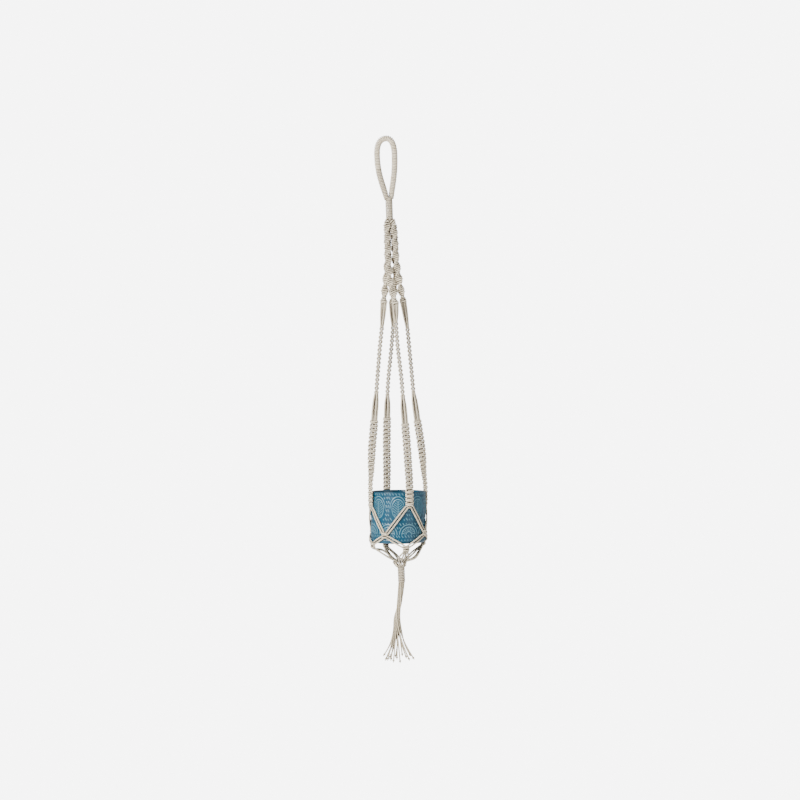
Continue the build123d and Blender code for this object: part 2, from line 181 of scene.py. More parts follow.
# %% Tassel cords
TASSEL_HEIGHTS = (-1.0200, -1.0420, -1.0660, -1.0840, -1.1060, -1.1360, -1.1710)
TASSEL_ROUTES = (
    ((-0.0063, 0.0001), (-0.0081, -0.0036), (-0.0114, -0.0061), (-0.0130, -0.0069),
     (-0.0146, -0.0081), (-0.0104, -0.0081), (-0.0015, -0.0082),
     (0.0102, -0.0080, -1.2000)),
    ((-0.0028, -0.0009), (-0.0047, -0.0019), (-0.0107, -0.0025), (-0.0129, -0.0034),
     (-0.0161, -0.0048), (-0.0146, -0.0054), (-0.0122, -0.0086),
     (-0.0104, -0.0090, -1.2045)),
    ((-0.0052, 0.0035), (-0.0086, 0.0017), (-0.0097, 0.0009), (-0.0130, 0.0001),
     (-0.0177, -0.0015), (-0.0173, -0.0027), (-0.0214, -0.0060),
     (-0.0253, -0.0080, -1.2027)),
    ((-0.0026, 0.0058), (-0.0068, 0.0052), (-0.0089, 0.0042), (-0.0129, 0.0035),
     (-0.0192, 0.0017), (-0.0200, 0.0000), (-0.0258, -0.0026),
     (-0.0310, -0.0075, -1.1983)),
    ((0.0010, 0.0062), (-0.0037, 0.0069), (-0.0080, 0.0077), (-0.0130, 0.0071),
     (-0.0209, 0.0050), (-0.0227, 0.0027), (-0.0298, -0.0004),
     (-0.0383, -0.0060, -1.1985)),
    ((-0.0053, -0.0033), (-0.0058, -0.0062), (-0.0080, -0.0068), (-0.0095, -0.0070),
     (-0.0114, -0.0065), (-0.0072, -0.0052), (0.0042, -0.0034),
     (0.0204, -0.0010, -1.1990)),
    ((0.0000, -0.0029), (-0.0015, -0.0028), (-0.0072, -0.0033), (-0.0094, -0.0035),
     (-0.0129, -0.0033), (-0.0119, -0.0027), (-0.0046, -0.0020),
     (0.0037, -0.0020, -1.1953)),
    ((0.0028, -0.0009), (-0.0001, 0.0003), (-0.0063, -0.0001), (-0.0095, 0.0000),
     (-0.0144, 0.0000), (-0.0146, 0.0001), (-0.0158, -0.0006),
     (-0.0172, -0.0010, -1.1970)),
    ((-0.0017, 0.0024), (-0.0052, 0.0021), (-0.0054, 0.0035), (-0.0095, 0.0035),
     (-0.0159, 0.0033), (-0.0173, 0.0027), (-0.0226, 0.0019),
     (-0.0306, 0.0004, -1.1910)),
    ((0.0017, 0.0024), (-0.0018, 0.0036), (-0.0045, 0.0069), (-0.0094, 0.0069),
     (-0.0174, 0.0065), (-0.0200, 0.0054), (-0.0276, 0.0044),
     (-0.0369, 0.0025, -1.1897)),
    ((0.0042, 0.0047), (-0.0002, 0.0066), (-0.0038, 0.0102), (-0.0093, 0.0104),
     (-0.0190, 0.0098), (-0.0227, 0.0081), (-0.0325, 0.0066),
     (-0.0464, 0.0010, -1.1890)),
    ((-0.0027, -0.0057), (-0.0025, -0.0073), (-0.0048, -0.0079), (-0.0060, -0.0070),
     (-0.0081, -0.0050), (-0.0046, -0.0022), (0.0014, 0.0030),
     (0.0130, 0.0080, -1.1925)),
    ((0.0008, -0.0063), (0.0007, -0.0059), (-0.0037, -0.0044), (-0.0060, -0.0035),
     (-0.0096, -0.0017), (-0.0092, 0.0002), (-0.0070, 0.0046),
     (-0.0050, 0.0080, -1.1910)),
    ((0.0040, -0.0048), (0.0027, -0.0029), (-0.0029, -0.0009), (-0.0061, 0.0000),
     (-0.0111, 0.0015), (-0.0119, 0.0027), (-0.0152, 0.0062),
     (-0.0200, 0.0085, -1.1935)),
    ((0.0060, -0.0018), (0.0032, 0.0005), (-0.0021, 0.0026), (-0.0060, 0.0034),
     (-0.0127, 0.0048), (-0.0146, 0.0054), (-0.0218, 0.0080),
     (-0.0330, 0.0090, -1.1960)),
    ((0.0061, 0.0016), (0.0022, 0.0039), (-0.0012, 0.0061), (-0.0058, 0.0070),
     (-0.0139, 0.0082), (-0.0173, 0.0081), (-0.0284, 0.0106),
     (-0.0430, 0.0095, -1.2005)),
)


def nurbs_line(name, points):
    """The points along a smooth NURBS line with these control points."""
    curve = bpy.data.curves.new(name, "CURVE")
    curve.dimensions = "3D"
    curve.resolution_u = 36
    spline = curve.splines.new("NURBS")
    spline.points.add(len(points) - 1)
    for point, spot in zip(spline.points, points):
        point.co = (*spot, 1)
    spline.order_u = 3
    spline.use_endpoint_u = True
    holder = bpy.data.objects.new(name, curve)
    bpy.context.collection.objects.link(holder)
    bpy.context.view_layer.update()
    mesh = bpy.data.meshes.new_from_object(holder)
    line = [vertex.co.copy() for vertex in mesh.vertices]
    bpy.data.objects.remove(holder)
    return line


tassel_lines = []
for number, (*corners, end) in enumerate(TASSEL_ROUTES, 1):
    route = [(*corner, height) for corner, height in zip(corners, TASSEL_HEIGHTS)] + [end]
    tassel_lines.append(nurbs_line(f"tassel_route_{number:02d}", route))

tassel_cords = [sweep(f"tassel_cord_{number:02d}_twisted", [line], ply_profile, PLY_CREST, PLY_LAY)
                for number, line in enumerate(tassel_lines, 1)]
print("tassel cords:", len(tassel_cords), "with", len(tassel_cords[0].data.polygons), "faces in the first")

# %% [markdown]
# ### End knots
# A small overhand knot keeps each cord from unlaying. Its cord runs along a trefoil, which is the overhand
# knot with its ends joined, pulled tight, and a short tail of loose fibre sticks out below it. The knot is
# modelled once and copied to every end, turned differently each time.

# %% End knots
KNOT_CORD = 0.00125
KNOT_REACH = 0.00062
TAIL = 0.0045


def trefoil(steps):
    """The line of a trefoil knot, about six units across."""
    turns = [2 * pi * step / steps for step in range(steps)]
    return [Vector((sin(t) + 2 * sin(2 * t), cos(t) - 2 * cos(2 * t), -1.2 * sin(3 * t))) for t in turns]


def end_knot(name, line):
    """One end knot at the end of a cord's line, pointing along it."""
    end = line[-1]
    along = (line[-1] - line[-8]).normalized()
    turn = along.to_track_quat("Z", "Y").to_matrix() @ Matrix.Rotation(chance.uniform(0, 2 * pi), 3, "Z")
    body = [end + turn @ (spot * KNOT_REACH) for spot in trefoil(60)]
    body.append(body[0])
    tail = [end + along * TAIL * step / 4 for step in range(2, 5)]
    return sweep(name, [body, tail], ply_profile, KNOT_CORD, PLY_LAY)


tassel_knots = [end_knot(f"tassel_end_knot_{number:02d}", line)
                for number, line in enumerate(tassel_lines, 1)]
for number, (cord, knot, line) in enumerate(zip(tassel_cords, tassel_knots, tassel_lines), 1):
    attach(cord, "tassel")
    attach(knot, "tassel")
    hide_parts(f"tassel_cord_{number:02d}")
    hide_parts("tassel_end_knots")

# %% [markdown]
# ## Hanging loop
# Above the neck the eight folded cords are covered by a wrapping cord, wound so tight that each turn touches
# the next. The wrapping is one helix round the loop's own line. The two limbs come together at the bottom,
# the left one in front, and go under the neck's wrapping, so their coils shrink there.

# %% Hanging loop
LOOP_LINE = (
    (-0.0026, -0.0030, -0.1330),
    (-0.0050, -0.0028, -0.1200),
    (-0.0118, -0.0016, -0.0980),
    (-0.0190, 0.0000, -0.0680),
    (-0.0218, 0.0000, -0.0360),
    (-0.0202, 0.0000, -0.0080),
    (-0.0098, 0.0000, 0.0080),
    (0.0100, 0.0000, 0.0090),
    (0.0192, 0.0000, -0.0110),
    (0.0196, 0.0000, -0.0420),
    (0.0172, 0.0000, -0.0740),
    (0.0124, 0.0016, -0.1020),
    (0.0090, 0.0028, -0.1200),
    (0.0078, 0.0030, -0.1330),
)
WRAP_CORD = 0.00192
WRAP_PITCH = 0.0037
COIL_STEPS = 34
BUNDLE_PROFILE = (1.0, 0.97, 0.86, 0.97)
BUNDLE_LAY = 0.09
LOOP_CORDS = 8
LOOP_BUNDLE = 0.0046
LOOP_ROPE = 0.0150
SHRINK_START = -0.104
SHRINK_END = -0.133
SHRINK = 0.24


def coil(line, pitch, radius_at):
    """A helix round a line, with its radius given by each point of the line."""
    side = Vector((0, 1, 0))
    runs = [0.0]
    for a, b in zip(line, line[1:]):
        runs.append(runs[-1] + (b - a).length)
    turns = runs[-1] / pitch
    spots = []
    segment = 0
    for step in range(int(turns * COIL_STEPS) + 1):
        run = step / COIL_STEPS * pitch
        while segment < len(line) - 2 and runs[segment + 1] < run:
            segment += 1
        a, b = line[segment], line[segment + 1]
        middle = a.lerp(b, (run - runs[segment]) / (runs[segment + 1] - runs[segment]))
        along = (b - a).normalized()
        across = along.cross(side).normalized()
        angle = 2 * pi * step / COIL_STEPS
        radius = radius_at(middle)
        spots.append(middle + radius * (cos(angle) * across + sin(angle) * across.cross(along)))
    return spots


def limb_radius(middle):
    """The rope's coils, drawn in where the neck's wrapping takes hold of them."""
    share = min(max((SHRINK_START - middle.z) / (SHRINK_START - SHRINK_END), 0), 1)
    return (LOOP_ROPE / 2 - WRAP_CORD) * (1 - SHRINK * share**2)


loop_line = nurbs_line("loop_line", LOOP_LINE)
loop_helix = coil(loop_line, WRAP_PITCH, limb_radius)
loop_coils = sweep("loop_wrapping_coils", [loop_helix], ply_profile, WRAP_CORD, PLY_LAY)
bundle_profile = profile_curve("bundle_profile", BUNDLE_PROFILE * LOOP_CORDS)
loop_bundle = sweep("loop_cord_bundle", [loop_line[2:-2]], bundle_profile, LOOP_BUNDLE, BUNDLE_LAY)
for piece in (loop_coils, loop_bundle):
    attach(piece, "loop")
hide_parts("loop_wrap")
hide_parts("loop_core")
print("loop wrapping:", len(loop_coils.data.polygons), "faces")

# %% [markdown]
# ## Neck and gathering wrap
# The same wrapping is wound straight down round all sixteen cords, once under the loop and once above the
# tassel.

# %% Neck and gathering wrap
NECK_TOP = -0.1285
NECK_BOTTOM = -0.1812
NECK_BUNDLE_TOP = -0.135
NECK_BUNDLE_BOTTOM = -0.182
GATHER_TOP_IN = 0.001
GATHER_BOTTOM_IN = 0.0018
COIL_OUT = 0.0008
BUNDLE_IN = 0.0003


def upright_coil(name, node, top, bottom):
    """Coils straight down, outside the box of the node that they cover."""
    low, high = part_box(node)
    middle = (Vector(low) + Vector(high)) / 2
    radius = (high[0] - low[0]) / 2 - WRAP_CORD + COIL_OUT
    line = [Vector((middle.x, middle.y, top)), Vector((middle.x, middle.y, bottom))]
    coils = sweep(name, [coil(line, WRAP_PITCH, lambda spot: radius)], ply_profile, WRAP_CORD, PLY_LAY)
    return coils, middle, radius


def upright_bundle(name, middle, radius, top, bottom):
    """The cords inside such coils, as one ribbed rope."""
    line = [Vector((middle.x, middle.y, top)), Vector((middle.x, middle.y, bottom))]
    return sweep(name, [line], bundle_profile, radius - BUNDLE_IN, BUNDLE_LAY)


neck_coils, neck_middle, neck_radius = upright_coil("neck_wrapping_coils", "neck_wrap", NECK_TOP, NECK_BOTTOM)
neck_bundle = upright_bundle("neck_cord_bundle", neck_middle, neck_radius,
                             NECK_BUNDLE_TOP, NECK_BUNDLE_BOTTOM)
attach(neck_bundle, "neck")
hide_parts("neck_wrap")
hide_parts("neck_core")
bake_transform(neck_coils)
gather_low, gather_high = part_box("gather_wrap")
gather_coils, gather_middle, gather_radius = upright_coil(
    "gathering_wrap_coils", "gather_wrap", gather_high[2] - GATHER_TOP_IN, gather_low[2] + GATHER_BOTTOM_IN)
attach(gather_coils, "gather")
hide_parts("gather_wrap")
print("neck coils", len(neck_coils.data.polygons), "and gathering coils", len(gather_coils.data.polygons))

# %% [markdown]
# ## Where each leg runs
# A leg's middle is read from the frame: every level ring of its solids gives one point. Knots are tied in
# the leg's own directions: along its broad side, across it, and down. The broad sides hang towards the front,
# and beside the pot they are twisted to lie flat against it.

# %% Leg lines
LEG_NAMES = ("right", "back", "left", "front")
LEG_FRONTS = {"right": 1, "back": 1, "left": -1, "front": -1}
RING_POINTS = 12
RING_WIDTH = 0.006
SMOOTHING = 0.012
TOP_RING = -0.1785
TOP_SHARE = 0.72
FACING_TOP = -0.705
FACING_BOTTOM = -0.790


def rings(node):
    """The middles of a solid's level rings, from the top down."""
    levels = {}
    for vertex in frame["nodes"][node].data.vertices:
        levels.setdefault(round(vertex.co.z, 4), []).append(vertex.co)
    found = []
    for ring in levels.values():
        xs, ys = [spot.x for spot in ring], [spot.y for spot in ring]
        if len(ring) >= RING_POINTS and max(xs) - min(xs) > RING_WIDTH:
            found.append(Vector(((min(xs) + max(xs)) / 2, (min(ys) + max(ys)) / 2, ring[0].z)))
    return sorted(found, key=lambda spot: -spot.z)


leg_rings = {leg: rings(f"{leg}_spiral")[1:] + rings(f"{leg}_braid") + rings(f"{leg}_flat_sennit")
             for leg in LEG_NAMES}


def ring_middle(leg, height):
    """The leg's middle at a height, straight between its rings."""
    spots = leg_rings[leg]
    if height >= spots[0].z:
        share = 1 - (1 - TOP_SHARE) * (height - spots[0].z) / (TOP_RING - spots[0].z)
        return Vector((neck_middle.x + share * (spots[0].x - neck_middle.x), share * spots[0].y, height))
    for a, b in zip(spots, spots[1:]):
        if a.z >= height >= b.z and a.z > b.z:
            return a.lerp(b, (a.z - height) / (a.z - b.z))
    return spots[-1] + (spots[-1] - spots[-2]) * ((spots[-1].z - height) / (spots[-2].z - spots[-1].z))


def leg_middle(leg, height):
    """The same, with its corners rounded off."""
    return sum((ring_middle(leg, height + SMOOTHING * step) for step in (-1, -0.5, 0, 0.5, 1)), Vector()) / 5


def leg_frame(leg, height):
    """Middle of a leg at a height, the direction of its broad side and the direction across that."""
    middle = leg_middle(leg, height)
    hub = sum((leg_middle(other, height) for other in LEG_NAMES), Vector()) / 4
    down = (leg_middle(leg, height - 0.002) - leg_middle(leg, height + 0.002)).normalized()
    facing = min(max((height - FACING_BOTTOM) / (FACING_TOP - FACING_BOTTOM), 0), 1)
    broad = down.cross(middle - hub).normalized().lerp(Vector((LEG_FRONTS[leg], 0, 0)), facing)
    broad = (broad - down * broad.dot(down)).normalized()
    return middle, broad, broad.cross(down)


def on_leg(leg, top, pattern):
    """Turn a pattern of (along the broad side, across it, down) into points on a leg."""
    spots = []
    for side, across, down_by in pattern:
        middle, broad, thin = leg_frame(leg, top - down_by)
        spots.append(middle + broad * side + thin * across)
    return spots


for leg in LEG_NAMES:
    print(leg, "leg has", len(leg_rings[leg]), "rings")

# %% [markdown]
# ## Half knots
# Every sennit here is made of half knots: one working cord crosses in front of the two filler cords, the
# other behind, and each goes through the loop that the other leaves at the side. Tied always from the same
# side, the row turns into a spiral; tied from the left and right in turn, it stays flat and is a row of
# square knots, whose two halves sit closer to each other than to the next knot. One function gives both
# working cords as points, in units of the knot's own size, and each is a little uneven, as a hand leaves it.

# %% Half knots
KNOT_POINTS = (
    (-1.0, 0.0, 0.0),
    (-0.66, 0.84, 0.29),
    (0.0, 1.0, 0.45),
    (0.64, 0.80, 0.59),
    (0.62, 0.10, 0.84),
)
UNEVEN = 0.00035
PAIRING = 0.16


def half_knots(count, pitch, width, depth, spiral):
    """Both working cords of a row of half knots: (sideways, outwards, down) before any twist."""
    reach, rise = width / 2 - CORD / 2, depth / 2 - CORD / 2
    cords = []
    for start in (1, -1):
        spots = []
        for knot in range(count):
            side = start if knot % 2 == 0 else -start
            face = side if spiral else start
            paired = 0 if spiral else PAIRING * (1 - 2 * (knot % 2))
            for x, y, z in KNOT_POINTS:
                spots.append((side * x * reach + chance.uniform(-UNEVEN, UNEVEN),
                              face * y * rise + chance.uniform(-UNEVEN, UNEVEN),
                              (knot + z + paired) * pitch + chance.uniform(-UNEVEN, UNEVEN)))
        side = start if count % 2 == 0 else -start
        spots.append((-side * reach, 0, count * pitch))
        cords.append(spots)
    return cords


def twisted(pattern, lay, bottom):
    """A pattern turned about the leg's middle once in each lay, and straight at its bottom."""
    spots = []
    for side, across, down_by in pattern:
        angle = 2 * pi * (bottom - down_by) / lay
        spots.append((side * cos(angle) - across * sin(angle),
                      side * sin(angle) + across * cos(angle), down_by))
    return spots


print("a half knot has", len(KNOT_POINTS), "points for each working cord")

# %% [markdown]
# ## Legs
# From the neck down each leg is a half-knot spiral, four loose cords, a round braid of the same four, four
# loose cords again and a long flat sennit of square knots. The heights come from the solids' own boxes.

# %% Half-knot spirals
SPIRAL_PITCH = 0.0048
SPIRAL_WIDTH = 0.0190
SPIRAL_DEPTH = 0.0098
FILLER = 0.0017
FILLER_STEP = 0.006
SPIRAL_TOP = -0.1795
SPIRAL_LAYS = {"right": 0.054, "back": 0.0505, "left": 0.057, "front": 0.0525}


def straight(side, top, bottom):
    """A straight filler cord."""
    count = max(2, int((bottom - top) / FILLER_STEP))
    return [(side, 0, top + (bottom - top) * number / count) for number in range(count + 1)]


spirals = {}
for leg in LEG_NAMES:
    low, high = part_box(f"{leg}_spiral")
    length = SPIRAL_TOP - low[2]
    count = round(length / SPIRAL_PITCH)
    pitch = length / count
    lines = []
    for working in half_knots(count, pitch, SPIRAL_WIDTH, SPIRAL_DEPTH, spiral=True):
        lines.append(smooth_line(on_leg(leg, SPIRAL_TOP, twisted(working, SPIRAL_LAYS[leg], length))))
    for side in (-FILLER, FILLER):
        lines.append(smooth_line(on_leg(leg, SPIRAL_TOP, straight(side, 0, length))))
    piece = sweep(f"{leg}_spiral_knots", lines, ply_profile, FULL_CREST, PLY_LAY)
    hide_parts(f"{leg}_spiral")
    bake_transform(piece)
    spirals[leg] = piece
    print(leg, "spiral:", count, "half knots,", len(piece.data.polygons), "faces")

# %% [markdown]
# ### Round braid
# In a four-strand round braid two cords wind one way and two the other, and each passes over, then under,
# the next one it meets. Radius and angle are plain formulas, and the frame bends them along the leg.

# %% Round braids
BRAID_LAY = 0.0196
BRAID_MEAN = 0.00310
BRAID_SWING = 0.00070
BRAID_STEP = 0.0010


def braid_strand(number, length):
    """One strand of the braid: two go round one way and two the other."""
    way = 1 if number < 2 else -1
    start = pi / 4 * way + (pi if number % 2 else 0)
    count = int(length / BRAID_STEP)
    spots = []
    for step in range(count + 1):
        down_by = length * step / count
        turn = 2 * pi * down_by / BRAID_LAY
        radius = BRAID_MEAN + way * BRAID_SWING * cos(2 * turn + pi / 2)
        angle = start + way * turn
        spots.append((radius * cos(angle), radius * sin(angle), down_by))
    return spots


for leg in LEG_NAMES:
    low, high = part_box(f"{leg}_braid")
    lines = [on_leg(leg, high[2], braid_strand(number, high[2] - low[2])) for number in range(4)]
    piece = sweep(f"{leg}_braid_strands", lines, ply_profile, LOOSE_CREST, PLY_LAY)
    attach(piece, "cradle")
    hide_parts(f"{leg}_braid")
print("each braid has 4 strands; the last has", len(piece.data.polygons), "faces")

# %% [markdown]
# ### Loose strands
# Between the knotted stretches the four cords run free. Above the braid they close in like a fan; below it
# they bow apart and come together again.

# %% Loose strands
BUNCH = ((-0.0026, -0.0014), (-0.0010, 0.0018), (0.0010, -0.0018), (0.0026, 0.0014))
UPPER_TOP = ((-0.0058, 0.0), (-0.0020, 0.0006), (0.0020, -0.0006), (0.0058, 0.0))
UPPER_MIDDLE = ((-0.0047, -0.0006), (-0.0016, 0.0012), (0.0016, -0.0011), (0.0047, 0.0008))
LOWER_UPPER = ((-0.0050, -0.0006), (-0.0016, 0.0022), (0.0018, -0.0022), (0.0052, 0.0008))
LOWER_MIDDLE = ((-0.0056, -0.0006), (-0.0018, 0.0016), (0.0019, -0.0018), (0.0058, 0.0008))
LOWER_BOTTOM = ((-0.0056, 0.0), (-0.0019, 0.0010), (0.0019, -0.0010), (0.0056, 0.0))
TUCK = 0.004


def loose_strands(leg, node, name, sections):
    """Four loose cords through the same corners of each section, tucked into the knots at both ends."""
    low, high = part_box(node)
    top, length = high[2] + TUCK, high[2] - low[2] + 2 * TUCK
    lines = []
    for number in range(4):
        pattern = [(*sections[0][number], 0)]
        for step, section in enumerate(sections):
            down_by = TUCK + (length - 2 * TUCK) * step / (len(sections) - 1)
            pattern.append((*section[number], down_by))
        pattern.append((*sections[-1][number], length))
        lines.append(smooth_line(on_leg(leg, top, pattern)))
    piece = sweep(name, lines, ply_profile, LOOSE_CREST, PLY_LAY)
    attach(piece, "cradle")
    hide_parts(node)
    return piece


for leg in LEG_NAMES:
    loose_strands(leg, f"{leg}_upper_strands", f"{leg}_upper_loose_cords", (UPPER_TOP, UPPER_MIDDLE, BUNCH))
    loose_strands(leg, f"{leg}_lower_strands", f"{leg}_lower_loose_cords",
                  (BUNCH, LOWER_UPPER, LOWER_MIDDLE, LOWER_BOTTOM))
print("loose strands on", len(LEG_NAMES), "legs")

# %% [markdown]
# ### Flat sennits
# Below the loose cords the same four are tied in square knots: half knots from the left and the right in
# turn, so the row stays flat. It ends against the pot, where the net takes over the cords.

# %% Flat sennits
SQUARE_PITCH = 0.0047
SENNIT_WIDTH = 0.0198
SENNIT_DEPTH = 0.0090

for leg in LEG_NAMES:
    low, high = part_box(f"{leg}_flat_sennit")
    length = high[2] - low[2]
    count = round(length / SQUARE_PITCH)
    lines = [smooth_line(on_leg(leg, high[2], working))
             for working in half_knots(count, length / count, SENNIT_WIDTH, SENNIT_DEPTH, spiral=False)]
    for side in (-FILLER, FILLER):
        lines.append(smooth_line(on_leg(leg, high[2], straight(side, -TUCK, length + TUCK))))
    piece = sweep(f"{leg}_flat_sennit_knots", lines, ply_profile, SENNIT_CREST, PLY_LAY)
    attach(piece, "cradle")
    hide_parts(f"{leg}_flat_sennit")
    print(leg, "flat sennit:", count, "half knots,", len(piece.data.polygons), "faces")

# %% [markdown]
# ## Net
# The net wraps the pot, so its points are given round the pot's own axis, which leans a little: an angle, a
# radius and a height above the pot's floor. The knots' places are measured on the frame's solids.

# %% Round the pot
pot_joint = next(joint for joint in record["behaviour"]["joints"] if joint["child"] == "pot")
pot_up = Vector(pot_joint["axis"]).normalized()
pot_floor = Vector(next(mount for mount in record["mounts"] if mount["name"] == "pot_floor")["pos_m"])
pot_across = Vector((pot_up.z, 0, -pot_up.x))
pot_depth = pot_up.cross(pot_across)
pot_low, pot_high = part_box("pot")
POT_RADIUS = (pot_high[1] - pot_low[1]) / 2
KNOT_GAP = 0.3
FOOT_UP = 0.005


def round_pot(spot):
    """Angle, radius and height of a point, round the pot."""
    arm = Vector(spot) - pot_floor
    x, y = arm.dot(pot_across), arm.dot(pot_depth)
    return atan2(y, x), (x * x + y * y) ** 0.5, arm.dot(pot_up)


def beside_pot(angle, radius, height):
    """The point at an angle, radius and height round the pot."""
    return pot_floor + radius * (cos(angle) * pot_across + sin(angle) * pot_depth) + height * pot_up


def knot_places(node):
    """Angle, radius and height of the four knots that share one node."""
    spots = sorted(round_pot(vertex.co) for vertex in frame["nodes"][node].data.vertices)
    groups = [[spots[0]]]
    for spot in spots[1:]:
        if spot[0] - groups[-1][-1][0] > KNOT_GAP:
            groups.append([])
        groups[-1].append(spot)
    if len(groups) == 5:
        wrapped = [(angle + 2 * pi, radius, height) for angle, radius, height in groups.pop(0)]
        groups[-1] += wrapped
    places = []
    for group in groups:
        columns = list(zip(*group))
        places.append(tuple((min(column) + max(column)) / 2 for column in columns))
    return places


first_row = knot_places("first_row_knots")
second_row = knot_places("second_row_knots")
leg_feet = {}
for leg in LEG_NAMES:
    low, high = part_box(f"{leg}_flat_sennit")
    leg_feet[leg] = round_pot(leg_middle(leg, low[2] + FOOT_UP))
for name, places in (("first", first_row), ("second", second_row)):
    print(name, "row of knots at", [round(degrees(place[0])) for place in places], "degrees round the pot")

# %% [markdown]
# ### Net cords and knots
# Two cords of one leg meet two of the next in a square knot, and the same happens again, shifted, lower
# down. An outer cord of one knot becomes an inner cord of the next, so each pair stays side by side.

# %% Net cords and knots
OUTER = (0.0060, 0.0015)
INNER = (0.0018, 0.0048)
NET_CLEARANCE = 0.0004
NET_RADIUS = POT_RADIUS + FULL_CREST + NET_CLEARANCE
NET_STEPS = 12
UPPER_SPREAD = 0.0009
MIDDLE_SPREAD = 0.0007
NET_KNOT_WIDTH = 0.0162
NET_KNOT_DEPTH = 0.0090
NET_KNOT_PITCH = 0.0042


def nearest(places, angle):
    """The place whose angle is nearest, with that angle written the short way round."""
    best = min(places, key=lambda place: abs((place[0] - angle + pi) % (2 * pi) - pi))
    return (angle + (best[0] - angle + pi) % (2 * pi) - pi, *best[1:])


def net_line(start, end, leave, arrive, side, spread):
    """One cord round the pot from knot to knot; spread bows it away from the other cord of its pair."""
    spots = []
    for step in range(NET_STEPS + 1):
        t = step / NET_STEPS
        bow = 4 * t * (1 - t)
        radius = NET_RADIUS + (start[1] - NET_RADIUS) * max(0, 1 - 5 * t)
        radius += (end[1] - NET_RADIUS) * max(0, 5 * t - 4)
        sideways = side * (leave[0] * (1 - t) - arrive[0] * t)
        height = (start[2] - leave[1]) * (1 - t) + (end[2] + arrive[1]) * t
        angle = start[0] + (end[0] - start[0]) * t + sideways / radius
        spots.append(beside_pot(angle, radius, height + spread * bow))
    return smooth_line(spots)


def net_pairs(start, places, spread):
    """The four cords from one place down to the knots on both sides."""
    lines = []
    for side in (-1, 1):
        beyond = [place for place in places if side * ((place[0] - start[0] + pi) % (2 * pi) - pi) > 0]
        end = nearest(beyond, start[0])
        lines.append(net_line(start, end, OUTER, INNER, side, spread))
        lines.append(net_line(start, end, INNER, OUTER, side, -spread))
    return lines


def net_knot_lines(place):
    """A square knot lying against the pot, with its fillers."""
    lines = []
    top = 1.5 * NET_KNOT_PITCH
    for working in half_knots(3, NET_KNOT_PITCH, NET_KNOT_WIDTH, NET_KNOT_DEPTH, spiral=False):
        spots = [beside_pot(place[0] + x / place[1], place[1] + y, place[2] + top - z) for x, y, z in working]
        lines.append(smooth_line(spots))
    for side in (-FILLER, FILLER):
        angle = place[0] + side / place[1]
        lines.append(smooth_line([beside_pot(angle, place[1], place[2] + z) for z in (top, -top)]))
    return lines


for leg in LEG_NAMES:
    pairs = net_pairs(leg_feet[leg], first_row, UPPER_SPREAD)
    upper = sweep(f"{leg}_net_upper_pairs", pairs, ply_profile, FULL_CREST, PLY_LAY)
    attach(upper, "cradle")
    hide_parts(f"{leg}_net_upper_cords")
for leg in LEG_NAMES:
    box_low, box_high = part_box(f"{leg}_net_middle_cords")
    start = nearest(first_row, round_pot((Vector(box_low) + Vector(box_high)) / 2)[0])
    pairs = net_pairs(start, second_row, MIDDLE_SPREAD)
    middle = sweep(f"{leg}_net_middle_pairs", pairs, ply_profile, FULL_CREST, PLY_LAY)
    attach(middle, "cradle")
    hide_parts(f"{leg}_net_middle_cords")
for name, places in (("first_row_knots", first_row), ("second_row_knots", second_row)):
    lines = [line for place in places for line in net_knot_lines(place)]
    knots = sweep(f"{name}_tied", lines, ply_profile, FULL_CREST, PLY_LAY)
    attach(knots, "cradle")
    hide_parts(name)
print("net knots:", len(first_row) + len(second_row))

# %% [markdown]
# ## Crown
# Under the pot all sixteen cords run in to one point, bend over a ball of knotted cord and go down into the
# gathering wrap. The lower cords belong to the cradle and the crown turns on them, so the two meet at the
# crown's surface.

# %% Crown and lower cords
CROWN_CORDS = 16
CROWN_COURSE = ((0.10, 0.72), (0.52, 0.62), (0.80, 0.36), (0.90, 0.05), (0.88, -0.25), (0.76, -0.58),
                (0.50, -0.92), (0.38, -1.3))
CROWN_CREST = PLY_CREST * 1.12
CROWN_CORE = 0.048
CROWN_BULGE = 1.04
CROWN_RIDGES = 0.14
CROWN_LEAN = 0.75
CROWN_SHIFT = Vector((-0.0026, -0.0010, -0.0010))
CROWN_UNEVEN = 0.0016
LOWER_SAGS = {"right": (0.0095, 0.0075, 0.0020, 0.0), "back": (0.0020, -0.0010, 0.0030, 0.0),
              "left": (-0.0105, -0.0085, 0.0010, 0.0040), "front": (0.0, 0.0020, -0.0010, 0.0030)}
LOWER_FAN = 0.0032
LOWER_LEAVE = 0.004
LOWER_TURN = (0.0055, 0.0095)
LOWER_SAG_AT = 0.48
LOWER_END = (0.93, 0.12)
GATHER_BUNDLE_IN = 0.0012
crown_low, crown_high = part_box("crown_knot")
crown_radius = (crown_high[0] - crown_low[0]) / 2
crown_middle = (Vector(crown_low) + Vector(crown_high)) / 2
crown_middle.z = crown_high[2] - crown_radius

